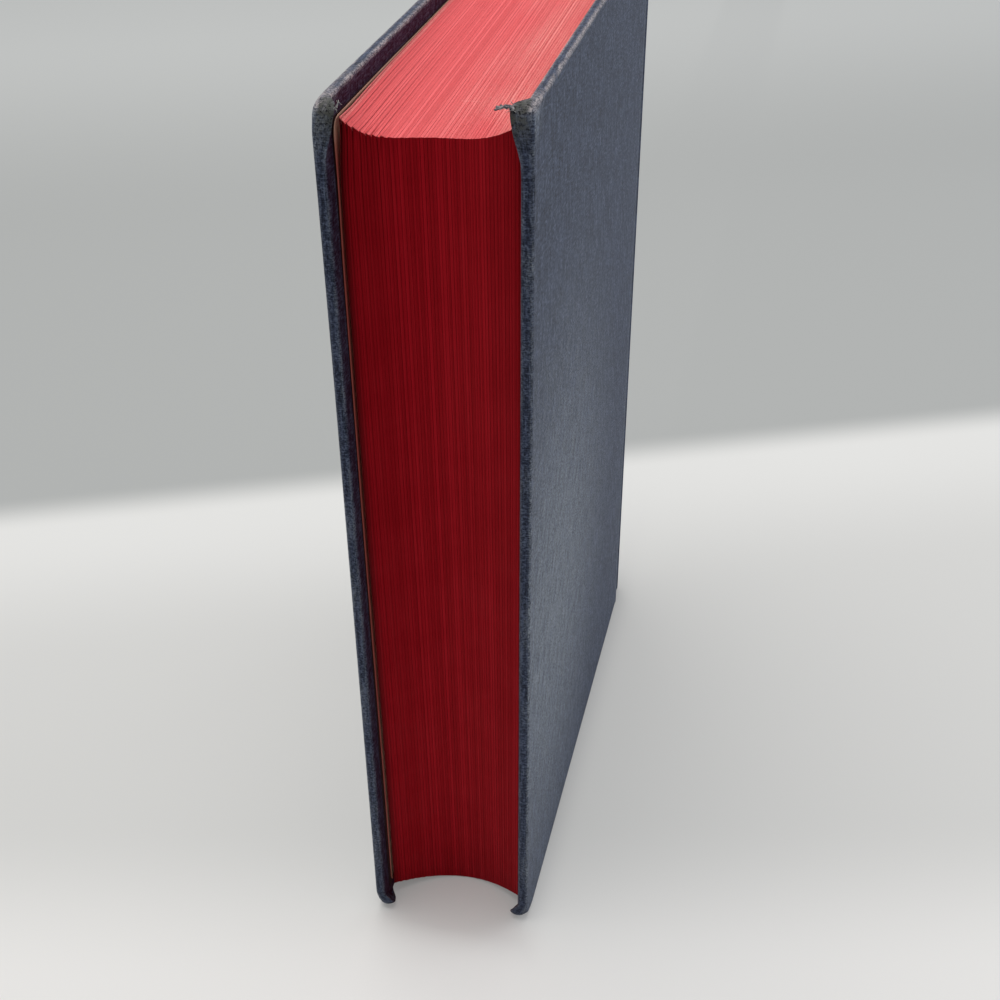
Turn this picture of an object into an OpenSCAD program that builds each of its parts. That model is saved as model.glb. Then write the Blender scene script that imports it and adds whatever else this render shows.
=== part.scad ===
// Cloth-bound hardback book, standing on its tail with the fore-edge to the front.
// X runs across the thickness, front cover at -X. Y runs from the fore-edge to the
// spine, Z from tail to head. The origin is the middle of the book's footprint.

/* [Cover boards] */
// Thickness over both covers
book_t = 44; // [30:1:60]
// Depth of a cover, from its fore-edge to the joint
cover_w = 151.5; // [110:0.5:190]
// Greyboard inside each cover
board_t = 2; // [1.5:0.1:3]
// Rounding of a worn board corner
corner_r = 3; // [1.5:0.5:5]
// How far a bumped corner swells in towards the pages
corner_curl = 2.8; // [0.5:0.1:4]
// How far the outer face bends in at such a corner
corner_dip = 0.8; // [0:0.1:2]
// Distance from the corner over which it swells, along the edges
curl_reach = 8.5; // [6:0.5:9]
// How much further forward the front cover stands than the back cover
cock = 6.5; // [0:0.5:10]

/* [Book cloth] */
// Thickness of the cloth
cloth_t = 0.3; // [0.2:0.05:0.5]
// Width of the cloth turned in over a board
turn_in = 15; // [10:1:20]
// Width of the pressed groove between a board and the spine
joint_w = 7; // [5:0.5:10]

/* [Pages] */
// Height of a leaf
page_h = 231; // [180:1:280]
// Overhang of the covers past the leaves at head, tail and fore-edge
square = 4.5; // [3:0.5:6]
// Rise of the rounded spine, which the fore-edge repeats as a hollow
rounding = 8.8; // [5:0.2:12]
// Outward flare of the leaves at each shoulder
shoulder = 1.6; // [0.8:0.1:2.5]
// Width of the flare, measured back from the spine folds
shoulder_w = 6; // [4:0.5:9]
// How much thinner the pages are at the fore-edge than at the folds
swell = 0.5; // [0:0.1:3]
// Height left under the middle leaves, whose fore-edge has dropped with age
foot_gap = 0.2; // [0.1:0.1:2]

/* [Endpapers] */
// Thickness of the endpaper
paper_t = 0.2; // [0.1:0.05:0.4]
// Gap between the front flyleaf and the pages at the fore-edge
flyleaf_lift = 0.5; // [0.2:0.1:0.8]
// Gap between each cover and its flyleaf
cover_gap = 0.2; // [0.1:0.05:0.5]

/* [Spine] */
// Gauze glued over the folds
mull_t = 0.4; // [0.2:0.1:0.8]
// Distance from the ends of the leaves to the gauze
mull_inset = 12; // [5:1:20]
// Paper lining over the gauze
lining_t = 0.4; // [0.2:0.1:0.8]
// Distance from the ends of the leaves to the lining
lining_inset = 2; // [1:0.5:4]
// Card strip inside the spine cloth
inlay_t = 0.8; // [0.5:0.1:1.5]
// Hollow between the lining and the card strip
hollow = 0.9; // [0.6:0.1:2]
// Height of the headband bead above the leaves
band_h = 1.8; // [1:0.1:2.5]
// Thickness of the headband bead
band_t = 2.2; // [1.5:0.1:3]

/* [Hidden] */

cloth_color = [0.22, 0.26, 0.33];
edge_color = [0.62, 0.08, 0.11];
paper_color = [0.86, 0.76, 0.60];
card_color = [0.62, 0.58, 0.52];
gauze_color = [0.88, 0.85, 0.78];
band_color = [0.80, 0.70, 0.58];

// Heights and running clearances
book_h = page_h + 2 * square;
joint_gap = 0.3;
seat_gap = 0.05;
glue_lap = 0.02;

// Covers: outer face, and the faces that the stack of board, cloth and paper gives
half_t = book_t / 2;
cover_in = half_t - 2 * cloth_t - board_t;
paper_in = cover_in - paper_t;

// Pages: half thickness at the folds, and the depth of a leaf
block_half = paper_in - cover_gap - paper_t;
page_w = cover_w + joint_w - joint_gap - square;
fold_v = square + page_w;
sag = asin((square - foot_gap) / page_w);

// Case spine: the cloth runs from the groove round the shoulder to the far arc
joint_v = cover_w + joint_gap;
joint_skin = paper_t + mull_t;
nose_half = block_half + shoulder + joint_skin + cloth_t;
nose_v = fold_v + mull_t + cloth_t;
apex_v = fold_v + rounding + mull_t + lining_t + hollow + inlay_t + cloth_t;
case_rise = apex_v - nose_v;
case_r = (nose_half * nose_half + case_rise * case_rise) / (2 * case_rise);
case_c = apex_v - case_r;
case_half_angle = asin(nose_half / case_r);

// Steps of the arc from its middle to the end of the cloth, of the card and of the turn-in
case_steps = 14;
inlay_steps = 12;
fold_steps = 10;

// The pages and the spine follow the covers: the shift grows across the pages
lean = cock / 2 / block_half;
far_v = case_c + case_r * sqrt(1 + lean * lean);
mid_v = (far_v - cock / 2) / 2;

// Stations across the thickness and along a leaf
leaf_steps = 24;
droop_power = 3.2;
flare_steps = 5;
run_steps = 6;
band_sides = 10;

function clamp01(t) = max(0, min(1, t));
function smooth(t) = let (c = clamp01(t)) c * c * (3 - 2 * c);

// Every point is written as thickness x, depth v from the fore-edge, height z
function plan(x, v) = [x, v - mid_v + lean * max(-block_half, min(block_half, x))];
function place(x, v, z) = concat(plan(x, v), [z]);

// Half thickness of the pages, a mm back from the fore-edge of a leaf
function flare(a) = let (t = clamp01((a - page_w + shoulder_w) / shoulder_w)) shoulder * t * t;
function side_x(s, a) =
    s < 0 ? block_half - swell * (1 - smooth(a / page_w)) + flare(a) : block_half + flare(a);

// Point of the leaf at s, from -1 at the front to 1 at the back of the book:
// a runs from the fore-edge to the fold, b from tail to head
function drop(s) = sag * (1 - pow(abs(s), droop_power));
function leaf_point(s, a, b) =
    let (
        turn = drop(s),
        da = a - page_w,
        v = fold_v + rounding * (1 - s * s) + da * cos(turn) - b * sin(turn),
        z = square + b * cos(turn) + da * sin(turn)
    )
    place(s * side_x(s, min(a, page_w)), v, z);

function stations(n, s0, s1) = [for (i = [0:n]) s0 + (s1 - s0) * i / n];

// Faces that close a ring of k points made of two facing rows
function strip_cap(k) = [
    for (j = [0:floor(k / 2) - 1]) each [
        if (j + 1 != k - 1 - j) [j, j + 1, k - 1 - j],
        if (j + 1 < k - 2 - j) [j + 1, k - 2 - j, k - 1 - j]
    ]
];

// Closed solid through equal rings of points, with the faces that close its ends.
// The second half of a ring is split the other way, so that facing rows split alike.
module loft(rings, cap) {
    n = len(rings);
    k = len(rings[0]);
    points = [for (r = rings) each r];
    sides = [
        for (i = [0:n - 2]) for (j = [0:k - 1]) let (p = i * k + j, q = i * k + (j + 1) % k)
            each j < k / 2 ? [[p, q + k, q], [p, p + k, q + k]] : [[p, p + k, q], [p + k, q + k, q]]
    ];
    last = [for (f = cap) [for (i = [len(f) - 1:-1:0]) (n - 1) * k + f[i]]];
    polyhedron(points = points, faces = concat(sides, cap, last), convexity = 6);
}

// Depths along a leaf, close together where the shoulder flares
flare_runs = [for (i = [0:flare_steps]) page_w - shoulder_w * (1 - i / flare_steps)];
leaf_runs = concat([for (i = [0:run_steps - 1]) (page_w - shoulder_w) * i / run_steps], flare_runs);

// Heights on a leaf, shared by the folds and all that is glued over them
rise_steps = 6;
leaf_rises = concat(
    [0, lining_inset],
    [for (i = [0:rise_steps]) mull_inset + (page_h - 2 * mull_inset) * i / rise_steps],
    [page_h - lining_inset, page_h]
);
function backwards(list) = [for (i = [len(list) - 1:-1:0]) list[i]];

// All leaves as one solid: hollow fore-edge, round spine, shoulders and dropped middle
module text_block() {
    na = len(leaf_runs);
    nb = len(leaf_rises) - 2;
    between = [for (i = [1:nb]) leaf_rises[i]];
    head = function (i) 2 * na + nb - 1 - i;
    fore_col = [for (i = [0:nb - 1]) 2 * na + nb + i];
    fold_col = [for (i = [0:nb - 1]) na + i];
    fan = function (p, chain) [for (i = [0:len(chain) - 2]) [p, chain[i], chain[i + 1]]];
    cap = concat(
        fan(1, concat([head(1), head(0)], fore_col, [0])),
        [for (i = [1:na - 3]) each fan(i, [i + 1, head(i + 1), head(i)])],
        fan(na - 2, concat([na - 1], fold_col, [head(na - 1), head(na - 2)]))
    );
    color(edge_color)
    loft([
        for (s = stations(leaf_steps, -1, 1)) concat(
            [for (a = leaf_runs) leaf_point(s, a, 0)],
            [for (b = between) leaf_point(s, page_w, b)],
            [for (a = backwards(leaf_runs)) leaf_point(s, a, page_h)],
            [for (b = backwards(between)) leaf_point(s, 0, b)]
        )
    ], cap);
}

// Layer glued over the folds, `inset` short of the leaf ends and `skip` stations narrower
module spine_layer(offset_in, thickness, inset, skip) {
    reach = 1 - 2 * skip / leaf_steps;
    rises = [for (b = leaf_rises) if (b >= inset && b <= page_h - inset) b];
    loft([
        for (s = stations(leaf_steps - 2 * skip, -reach, reach)) concat(
            [for (b = rises) leaf_point(s, page_w + offset_in + thickness, b)],
            [for (b = backwards(rises)) leaf_point(s, page_w + offset_in, b)]
        )
    ], strip_cap(2 * len(rises)));
}

// Depths of the groove and the shoulder, shared by all that lies in the joint
joint_runs = concat([joint_v], [for (a = flare_runs) if (square + a > joint_v) square + a]);

// Strip in a joint between two offsets from the pages, carried on past the folds by `past`
// and in behind them to the offset `hook`
module joint_strip(side, off0, off1, past, hook, z0, z1) {
    skin = function (v, off) plan(side * (block_half + flare(min(v, fold_v) - square) + off), v);
    outer = [for (v = joint_runs) skin(v, off1)];
    inner = [for (v = backwards(joint_runs)) skin(v, off0)];
    corner = [for (p = [[off1, past], [hook, past], [hook, 0]]) skin(fold_v + p[1], p[0])];
    translate([0, 0, z0])
    linear_extrude(height = z1 - z0)
    polygon(concat(outer, corner, inner));
}

// Gauze over the folds and both shoulders, down into the joints
module mull() {
    z0 = square + mull_inset;
    z1 = square + page_h - mull_inset;
    color(gauze_color) {
        spine_layer(0, mull_t, mull_inset, 0);
        for (side = [-1, 1]) joint_strip(side, paper_t, joint_skin, mull_t, -glue_lap, z0, z1);
    }
}

module spine_lining() {
    color(card_color) spine_layer(mull_t, lining_t, lining_inset, 1);
}

// Bead of a headband on the ends of the leaves, against the folds
module band(b, up) {
    half = band_t / 2;
    color(band_color)
    loft([
        for (s = stations(leaf_steps, -1, 1)) [
            for (i = [0:band_sides]) let (w = 180 * (up > 0 ? i : band_sides - i) / band_sides)
                leaf_point(s, page_w - half + half * cos(w), b + up * band_h * sin(w))
        ]
    ], strip_cap(band_sides + 1));
}

module head_band() {
    band(page_h + seat_gap, 1);
}

module tail_band() {
    band(-seat_gap, -1);
}

// Free half of an endpaper: on the pages at the folds, lifted at the fore-edge
module flyleaf(side, lift) {
    gap_at = function (a) lift * (1 - smooth(a / (page_w - shoulder_w)));
    sheet = function (a, off)
        place(side * (side_x(side, a) + gap_at(a) + off), square + a, square);
    color(paper_color)
    loft([
        for (b = [0, page_h]) let (up = [0, 0, b]) concat(
            [for (a = leaf_runs) sheet(a, side > 0 ? paper_t : 0) + up],
            [for (a = backwards(leaf_runs)) sheet(a, side > 0 ? 0 : paper_t) + up]
        )
    ], strip_cap(2 * len(leaf_runs)));
}

module front_flyleaf() {
    flyleaf(-1, flyleaf_lift);
}

module back_flyleaf() {
    flyleaf(1, 0);
}

// Inward move of a cover's face at a point v from its fore-edge and z above its tail, where
// the corner itself moves by `most`
function bend(v, z, most) =
    let (d = v + min(z, book_h - z), t = clamp01(1 - d / curl_reach)) most * t * t;

// Where the rounded corner starts at height z, for an edge that lies `off` inside the cloth
function corner_v(z, off) =
    let (r = corner_r - off, e = min(z, book_h - z) - off)
    e < r ? off + r - sqrt(max(0, r * r - (r - e) * (r - e))) : off;

// Grid lines across a cover, close together where its corners bend
edge_lines = [for (i = [0:8]) curl_reach * pow(i / 8, 1.5)];
function cover_vs(off) = concat(edge_lines, [cover_w - off]);
function cover_zs(off) = concat(
    [for (e = edge_lines) off + e],
    [for (i = [len(edge_lines) - 1:-1:0]) book_h - off - edge_lines[i]]
);

// Slab of a cover between two faces, `off` inside the cloth at every edge
module cover_slab(side, x_out, x_in, off) {
    vs = cover_vs(off);
    zs = cover_zs(off);
    n = len(vs);
    m = len(zs);
    spot = function (x, most, v, z)
        let (v0 = corner_v(z, off), q = v0 + (cover_w - off - v0) * v / (cover_w - off))
        [side * (x - bend(q, z, most)), q, z];
    points = concat(
        [for (z = zs) for (v = vs) spot(x_out, corner_dip, v, z)],
        [for (z = zs) for (v = vs) spot(x_in, corner_curl, v, z)]
    );
    deep = n * m;
    rim = concat(
        [for (i = [0:n - 1]) i],
        [for (j = [1:m - 1]) j * n + n - 1],
        [for (i = [n - 2:-1:0]) (m - 1) * n + i],
        [for (j = [m - 2:-1:1]) j * n]
    );
    skin = [
        for (j = [0:m - 2]) for (i = [0:n - 2]) let (p = j * n + i) each [
            [p, p + n, p + n + 1],
            [p, p + n + 1, p + 1]
        ]
    ];
    inner = [for (f = skin) [f[2] + deep, f[1] + deep, f[0] + deep]];
    wall = [
        for (k = [0:len(rim) - 1]) let (p = rim[k], q = rim[(k + 1) % len(rim)]) each [
            [p, q, q + deep],
            [p, q + deep, p + deep]
        ]
    ];
    faces = concat(skin, inner, wall);
    polyhedron(
        points = points,
        faces = side > 0 ? faces : [for (f = faces) [f[2], f[1], f[0]]],
        convexity = 6
    );
}

// A cover stands on its own side of the book, shifted by the lean
module on_side(side) {
    translate([0, side * cock / 2 - mid_v, 0]) children();
}

module board(side) {
    color(card_color) on_side(side) cover_slab(side, half_t - cloth_t, cover_in + cloth_t, cloth_t);
}

// Cloth over the outer face and the edges, turned in over the inner face
module board_cloth(side) {
    color(cloth_color)
    on_side(side)
    difference() {
        cover_slab(side, half_t, cover_in, 0);
        cover_slab(side, half_t - cloth_t, cover_in + cloth_t, cloth_t);
        translate([side * cover_in, cover_w / 2 + turn_in / 2, book_h / 2])
        cube([2 * cloth_t + board_t / 2, cover_w - turn_in, book_h - 2 * turn_in], center = true);
    }
}

// Paper over the board and the turned-in cloth, with the step that they leave
module pastedown(side) {
    paper_v = square;
    paper_w = cover_w - square - cloth_t;
    step_w = paper_t;
    color(paper_color)
    on_side(side)
    mirror([side > 0 ? 0 : 1, 0, 0])
    difference() {
        union() {
            translate([paper_in, paper_v, square]) cube([paper_t, paper_w, page_h]);
            translate([paper_in, turn_in, turn_in])
            cube([paper_t + cloth_t, paper_v + paper_w - turn_in, book_h - 2 * turn_in]);
        }
        translate([paper_in - cloth_t, turn_in + step_w, turn_in + step_w])
        cube([2 * cloth_t, cover_w, book_h - 2 * turn_in - 2 * step_w]);
    }
}

// Curved sheet along the back of the case, between two depths under its outer face. All
// sheets share the same steps, so their flats lie on each other.
module case_arc(deep0, deep1, steps, z0, z1) {
    bow = function (r) [for (i = [-steps:steps]) let (w = case_half_angle * i / case_steps)
        [r * sin(w), case_c + r * cos(w)]];
    outer = bow(case_r - deep0);
    inner = bow(case_r - deep1);
    outline = concat(outer, backwards(inner));
    translate([0, 0, z0])
    linear_extrude(height = z1 - z0)
    polygon([for (p = outline) plan(p[0], p[1])]);
}

// Cloth over the spine, folded in over the ends of the card, and down into both grooves
module spine_cloth() {
    card_in = cloth_t + inlay_t;
    color(cloth_color) {
        case_arc(0, cloth_t, case_steps, 0, book_h);
        for (side = [-1, 1])
            joint_strip(side, joint_skin, joint_skin + cloth_t, nose_v - fold_v, joint_skin, 0, book_h);
        for (z = [[0, turn_in, 0], [book_h - turn_in, book_h, book_h - cloth_t]]) {
            case_arc(card_in, card_in + cloth_t, fold_steps, z[0], z[1]);
            case_arc(cloth_t / 2, card_in + cloth_t / 2, fold_steps, z[2], z[2] + cloth_t);
        }
    }
}

// Card strip that keeps the spine cloth stiff
module spine_inlay() {
    color(card_color)
    case_arc(cloth_t, cloth_t + inlay_t, inlay_steps, cloth_t, book_h - cloth_t);
}

module front_board() {
    board(-1);
}

module front_board_cloth() {
    board_cloth(-1);
}

module front_pastedown() {
    pastedown(-1);
}

module back_board() {
    board(1);
}

module back_board_cloth() {
    board_cloth(1);
}

module back_pastedown() {
    pastedown(1);
}

text_block();
front_flyleaf();
back_flyleaf();
head_band();
tail_band();
mull();
spine_lining();
spine_inlay();
spine_cloth();
front_board();
front_board_cloth();
front_pastedown();
back_board();
back_board_cloth();
back_pastedown();
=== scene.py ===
# Cloth-bound hardback book, standing on its tail with the fore-edge to the camera.
# Sizes are in millimetres, and place() and placeCover() turn them into metres.
import math
import random

import bmesh
import bpy
from mathutils import Matrix, Vector, noise


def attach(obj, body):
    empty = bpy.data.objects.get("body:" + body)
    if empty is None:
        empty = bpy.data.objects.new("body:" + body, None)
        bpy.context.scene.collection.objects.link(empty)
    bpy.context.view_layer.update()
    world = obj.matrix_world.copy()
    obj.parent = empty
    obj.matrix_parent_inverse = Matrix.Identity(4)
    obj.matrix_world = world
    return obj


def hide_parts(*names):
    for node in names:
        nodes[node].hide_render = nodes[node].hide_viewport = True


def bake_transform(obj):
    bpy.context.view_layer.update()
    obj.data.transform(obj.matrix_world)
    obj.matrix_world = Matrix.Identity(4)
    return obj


print("Frame: loading the packed solids")
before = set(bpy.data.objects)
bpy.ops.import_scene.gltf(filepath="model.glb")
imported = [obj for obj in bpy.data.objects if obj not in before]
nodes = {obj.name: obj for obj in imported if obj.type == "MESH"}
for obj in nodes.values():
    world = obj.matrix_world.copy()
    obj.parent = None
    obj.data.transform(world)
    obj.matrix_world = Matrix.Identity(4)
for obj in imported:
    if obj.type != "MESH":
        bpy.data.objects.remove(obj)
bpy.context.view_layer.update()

case = {  # the book's own sizes
    "thickness": 44.0,
    "coverDepth": 151.5,
    "board": 2.0,
    "cloth": 0.3,
    "groove": 7.0,
    "turnIn": 15.0,
    "cornerRadius": 3.0,
    "curlReach": 8.5,
    "cock": 6.5,  # how much further forward the front cover stands
    "slant": (1.8, -0.6),  # how far a cover's fore-edge stands proud at the tail and at the head
    "leafHeight": 231.0,
    "square": 4.5,  # overhang of the covers past the leaves
    "rounding": 8.8,
    "shoulder": 1.6,
    "shoulderDepth": 6.0,
    "swell": 0.5,
    "footGap": 0.2,
    "droopPower": 3.2,
    "tailPower": 1.2,  # how much rounder the drop is at the tail of the fore-edge
    "tailTwist": 1.5,  # the leaves' tail corners lean less than the rest
    "paper": 0.2,
    "lift": 0.5,
    "coverGap": 0.2,
    "gauze": 0.4,
    "lining": 0.4,
    "card": 0.8,
    "hollow": 0.9,
    "jointGap": 0.3,
}
height = case["leafHeight"] + 2 * case["square"]
leafHeight = case["leafHeight"]
halfT = case["thickness"] / 2
coverIn = halfT - 2 * case["cloth"] - case["board"]
paperIn = coverIn - case["paper"]
blockHalf = paperIn - case["coverGap"] - case["paper"]
leafDepth = case["coverDepth"] + case["groove"] - case["jointGap"] - case["square"]
foldV = case["square"] + leafDepth
sag = math.asin((case["square"] - case["footGap"]) / leafDepth)
skin = case["paper"] + case["gauze"]
noseHalf = blockHalf + case["shoulder"] + skin + case["cloth"]
noseV = foldV + case["gauze"] + case["cloth"]
apexV = noseV + case["rounding"] + case["lining"] + case["hollow"] + case["card"]
arcRadius = (noseHalf**2 + (apexV - noseV) ** 2) / (2 * (apexV - noseV))
arcV = apexV - arcRadius
arcAngle = math.asin(noseHalf / arcRadius)
lean = case["cock"] / 2 / blockHalf
midV = (arcV + arcRadius * math.sqrt(1 + lean * lean) - case["cock"] / 2) / 2


def clamp(t, low=0.0, high=1.0):
    return max(low, min(high, t))


def smooth(t):
    t = clamp(t)
    return t * t * (3 - 2 * t)


def fade(distance, reach):  # 1 at no distance, down to 0 at the reach
    return smooth(1 - distance / reach)


def place(x, v, z):  # x across the thickness, v back from the fore-edge, z up from the tail
    return Vector((x, v - midV + lean * clamp(x, -blockHalf, blockHalf), z)) * 0.001


def sideName(side):
    return "front" if side < 0 else "back"


def cornerStart(r, e):  # how far a corner of radius r has cut back, e from the end
    return r - math.sqrt(max(0.0, r * r - (r - e) ** 2)) if e < r else 0.0


def placeCover(side, x, v, z):
    return Vector((side * x, v + side * case["cock"] / 2 - midV, z)) * 0.001


def flare(a):
    t = clamp((a - leafDepth + case["shoulderDepth"]) / case["shoulderDepth"])
    return case["shoulder"] * t * t


def sideX(s, a):
    if s < 0:
        return blockHalf - case["swell"] * (1 - smooth(a / leafDepth)) + flare(a)
    return blockHalf + flare(a)


def twist(s, a, b):
    return case["tailTwist"] * s * (1 - smooth(a / leafDepth)) * (1 - smooth(b / leafHeight / 0.7))


def leafSpot(s, a, b):  # s from -1 at the front to 1 at the back, a deep and b high on the leaf
    power = case["droopPower"] - case["tailPower"] * (1 - clamp(b / leafHeight)) * (1 - clamp(a / leafDepth))
    turn = sag * (1 - abs(s) ** power)
    back = a - leafDepth
    v = foldV + case["rounding"] * (1 - s * s) + back * math.cos(turn) - b * math.sin(turn) - twist(s, a, b)
    z = case["square"] + b * math.cos(turn) + back * math.sin(turn)
    return s * sideX(s, min(a, leafDepth)), v, z


def grain(x, y, z, size):  # soft noise from -1 to 1, with lumps about size mm across
    return noise.noise(Vector((x, y, z)) / size)


def stationList(total, near, step, bothEnds=True):
    # near holds the close stations at an end, and step spaces those between
    last = total - near[-1] if bothEnds else total
    count = max(1, round((last - near[-1]) / step))
    middle = [near[-1] + (last - near[-1]) * i / count for i in range(1, count)]
    far = [total - d for d in reversed(near)] if bothEnds else [total]
    return list(near) + middle + far


def gridBlock(nx, ny, nz):
    # a box of nx by ny by nz cells, whose corners hold whole numbers as their place
    bm = bmesh.new()
    bmesh.ops.create_cube(bm, size=1)
    bmesh.ops.translate(bm, vec=(0.5, 0.5, 0.5), verts=bm.verts)
    for axis, count in ((0, nx), (1, ny), (2, nz)):
        along = [e for e in bm.edges if abs((e.verts[1].co - e.verts[0].co)[axis]) > 0.5]
        if count > 1:
            bmesh.ops.subdivide_edges(bm, edges=along, cuts=count - 1)
    bmesh.ops.scale(bm, vec=(nx, ny, nz), verts=bm.verts)
    return bm


def gridSheet(columns, rows, shape, facing):
    # shape(u, w) gives the place and the thread coordinates for u and w from 0 to 1
    bm = bmesh.new()
    bmesh.ops.create_grid(bm, x_segments=columns, y_segments=rows, size=0.5)
    threads = bm.loops.layers.uv.new("threads")
    spots = {v: shape(v.co.x + 0.5, v.co.y + 0.5) for v in bm.verts}
    for face in bm.faces:
        for loop in face.loops:
            loop[threads].uv = spots[loop.vert][1]
    for vert, (spot, _) in spots.items():
        vert.co = spot
    bm.normal_update()
    if sum(f.normal.dot(facing(f.calc_center_median())) for f in bm.faces) < 0:
        bmesh.ops.reverse_faces(bm, faces=bm.faces)
    return bm


def addObject(name, data):
    made = bpy.data.objects.new(name, data)
    bpy.context.scene.collection.objects.link(made)
    return made


def addPiece(bm, name, material, sharp=None):
    mesh = bpy.data.meshes.new(name)
    bm.to_mesh(mesh)
    bm.free()
    mesh.materials.append(material)
    if sharp is not None:
        mesh.polygons.foreach_set("use_smooth", [True] * len(mesh.polygons))
        mesh.set_sharp_from_angle(angle=math.radians(sharp))
    piece = addObject(name, mesh)
    return piece


def addWall(piece, thickness):  # the sheet keeps its face and gains its thickness behind it
    wall = piece.modifiers.new("wall", "SOLIDIFY")
    wall.thickness = thickness * 0.001
    wall.offset = -1
    wall.use_even_offset = False
    return piece


def rounded(points, rounds=2):  # cuts the corners of a line of points, and keeps its ends
    for _ in range(rounds):
        cut = [points[0]]
        for p, q in zip(points, points[1:]):
            cut.append(tuple(0.75 * a + 0.25 * b for a, b in zip(p, q)))
            cut.append(tuple(0.25 * a + 0.75 * b for a, b in zip(p, q)))
        cut.append(points[-1])
        points = cut
    return points


def lineLengths(points):
    lengths = [0.0]
    for p, q in zip(points, points[1:]):
        lengths.append(lengths[-1] + math.dist(p, q))
    return lengths


# Materials

def colour(code):  # sRGB hex to linear
    parts = [int(code[i : i + 2], 16) / 255 for i in (1, 3, 5)]
    return tuple(c / 12.92 if c <= 0.04045 else ((c + 0.055) / 1.055) ** 2.4 for c in parts) + (1.0,)


def addNode(tree, kind, sockets=None, **settings):
    node = tree.nodes.new("ShaderNode" + kind)
    for name, value in settings.items():
        setattr(node, name, value)
    for name, value in (sockets or {}).items():
        if isinstance(value, bpy.types.NodeSocket):
            tree.links.new(value, node.inputs[name])
        else:
            node.inputs[name].default_value = value
    return node


def startMaterial(name, roughness, specular=0.5, **constants):
    material = bpy.data.materials.new(name)
    material.use_nodes = True
    tree = material.node_tree
    tree.nodes.clear()
    shader = addNode(tree, "BsdfPrincipled", {"Roughness": roughness, "Specular IOR Level": specular, **constants})
    addNode(tree, "OutputMaterial", {"Surface": shader.outputs["BSDF"]})
    return material, tree, shader


def dress(tree, shader, tone, relief, strength, depth, roughness=None):
    # links the colour, the relief, whose depth is in metres, and the roughness where it varies
    bump = addNode(tree, "Bump", {"Strength": strength, "Distance": depth, "Height": relief})
    tree.links.new(tone, shader.inputs["Base Color"])
    tree.links.new(bump.outputs[0], shader.inputs["Normal"])
    if roughness is not None:
        tree.links.new(roughness, shader.inputs["Roughness"])


def objectPlace(tree):  # metres
    return addNode(tree, "TexCoord").outputs["Object"]


def threadPlace(tree):  # millimetres across and along the threads or the leaves
    return addNode(tree, "UVMap", uv_map="threads").outputs[0]


def axesOf(tree, place):
    return addNode(tree, "SeparateXYZ", {0: place}).outputs


def attribute(tree, name):
    return addNode(tree, "Attribute", attribute_name=name).outputs["Fac"]


def math2(tree, operation, a, b=0.0, limit=False):
    return addNode(tree, "Math", {0: a, 1: b}, operation=operation, use_clamp=limit).outputs[0]


def times(tree, a, b, limit=False):
    return math2(tree, "MULTIPLY", a, b, limit)


def weighted(tree, *parts):  # the sum of values, each times its weight
    total = None
    for value, weight in parts:
        part = value if weight == 1 else times(tree, value, weight)
        total = part if total is None else math2(tree, "ADD", total, part)
    return total


def wave(tree, value, period):
    return math2(tree, "SINE", times(tree, value, 2 * math.pi / period))


def mixColour(tree, amount, a, b):  # each colour is a socket or a hex code
    a, b = (colour(c) if isinstance(c, str) else c for c in (a, b))
    return addNode(tree, "Mix", {0: amount, 6: a, 7: b}, data_type="RGBA").outputs[2]


def ramp(tree, value, low, high, toLow=0.0, toHigh=1.0):
    return addNode(
        tree, "MapRange", {"Value": value, "From Min": low, "From Max": high, "To Min": toLow, "To Max": toHigh},
        interpolation_type="SMOOTHSTEP",
    ).outputs[0]


def speckle(tree, place, scale, detail=2.0, rough=0.5):
    # noise with scale lumps to a unit of the place; scale is one number, or one for each axis
    scale = scale if isinstance(scale, tuple) else (scale, scale, scale)
    spread = addNode(tree, "Mapping", {"Vector": place, "Scale": scale}).outputs[0]
    return addNode(tree, "TexNoise", {"Vector": spread, "Scale": 1.0, "Detail": detail, "Roughness": rough}).outputs[0]


# the third layer is painted dark red shade on the turned-in cloth beside the leaves
clothLayers = ("wearAndPaintedLight", "bare", "paintedRedShade", "fadedAndHighlit")
clothLook = {
    "thread": 0.52,  # mm from thread to thread; the real 0.4 is too fine to show
    "wander": (1.9, 1.5),  # mm that warp and weft stray
    "warpStreak": (1 / 0.55, 1 / 9, 1),  # this and the next four are lumps to a mm
    "weftStreak": (1 / 7, 1 / 0.55, 1),
    "slub": (1 / 1.7, 1 / 7, 1),  # the thicker threads that show from afar
    "knots": (1 / 1.9, 1 / 0.65, 1),
    "marks": (1 / 1.2, 1 / 8, 1),
    "markTurn": 0.55,  # lean of the rubbed marks, in radians
    "deep": "#0f1422",
    "base": "#262f48",
    "crest": "#555f7a",
    "slubTone": "#626d84",
    "scuffed": "#8d959d",
    # paler, rosier tone for the head's top edges: wear and a painted highlight
    "fadedAndHighlit": "#aaa2a3",
    "board": "#494a46",
    "hole": "#100d0b",
}


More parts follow.
